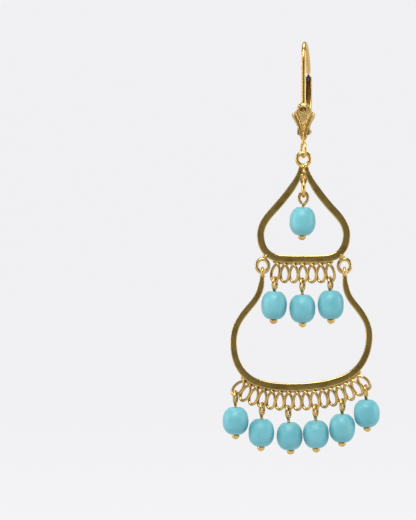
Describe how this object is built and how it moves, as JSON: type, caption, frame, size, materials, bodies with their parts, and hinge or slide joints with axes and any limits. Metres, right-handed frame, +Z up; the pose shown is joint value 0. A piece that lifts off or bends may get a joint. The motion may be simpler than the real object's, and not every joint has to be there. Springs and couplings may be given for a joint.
{
  "type": "chandelier earring",
  "caption": "Lever-back chandelier earring: an onion-shaped gold frame carries a wider bell-shaped one, and turquoise barrel beads hang on ball pins from coiled wire galleries.",
  "frame": {"origin": "the underside of the ear wire's arch, where the earring rests in the ear lobe's piercing", "axes": "+Z up along the hanging earring, -Y to the front face, +X to the right as seen from the front"},
  "size_m": [0.0245, 0.0111, 0.0651],
  "materials": {
    "gold": "polished yellow gold wire, satin brushed on the flat faces",
    "turquoise": "smooth waxy satin"
  },
  "bodies": {
    "hook": {"ear_hook": "gold", "hinge_pin": "gold"},
    "lever": {"lever": "gold"},
    "upper_drop": {"upper_frame": "gold", "pin_top": "gold", "bead_top": "turquoise", "pin_upper_1": "gold", "bead_upper_1": "turquoise", "pin_upper_2": "gold", "bead_upper_2": "turquoise", "pin_upper_3": "gold", "bead_upper_3": "turquoise"},
    "lower_drop": {"lower_frame": "gold", "pin_lower_1": "gold", "bead_lower_1": "turquoise", "pin_lower_2": "gold", "bead_lower_2": "turquoise", "pin_lower_3": "gold", "bead_lower_3": "turquoise", "pin_lower_4": "gold", "bead_lower_4": "turquoise", "pin_lower_5": "gold", "bead_lower_5": "turquoise", "pin_lower_6": "gold", "bead_lower_6": "turquoise"}
  },
  "joints": [
    {"name": "lever_hinge", "type": "hinge", "parent": "hook", "child": "lever", "pos_m": [-0.00009, -0.00069, -0.0136], "axis": [-0.9914, 0.1305, 0], "range_deg": [0, 60]},
    {"name": "drop_swing", "type": "hinge", "parent": "hook", "child": "upper_drop", "pos_m": [-0.00029, -0.00218, -0.01762], "axis": [0, 1, 0], "range_deg": [-30, 30]},
    {"name": "lower_swing", "type": "hinge", "parent": "upper_drop", "child": "lower_drop", "pos_m": [-0.00029, -0.00218, -0.03574], "axis": [1, 0, 0], "range_deg": [-35, 35]}
  ]
}
